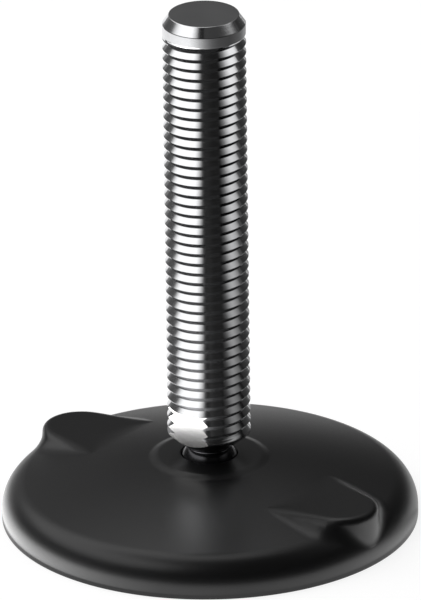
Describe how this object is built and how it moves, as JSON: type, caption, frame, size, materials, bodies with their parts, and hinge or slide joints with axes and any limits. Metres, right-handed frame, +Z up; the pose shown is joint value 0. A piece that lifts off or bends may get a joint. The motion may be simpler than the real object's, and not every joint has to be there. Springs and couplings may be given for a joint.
{
  "type": "articulated levelling foot",
  "caption": "Articulated levelling foot: threaded steel stud with spanner flats and a ball end, snapped into a round moulded base with lugs for bolting to the floor.",
  "frame": {"origin": "where the stud's axis meets the floor, at the middle of the base's underside", "axes": "+Z up the stud, +X along the two lugs, +Y square to the spanner flats"},
  "size_m": [0.1, 0.1, 0.13],
  "materials": {
    "steel": "bright turned and threaded",
    "polyamide": "fine moulded grain"
  },
  "bodies": {
    "base": {"base": "polyamide"},
    "stud": {"stud": "steel"}
  },
  "joints": [
    {"name": "stud_tilt", "type": "hinge", "parent": "base", "child": "stud", "pos_m": [0, 0, 0.0127], "axis": [0, 1, 0], "range_deg": [-15, 15]}
  ]
}
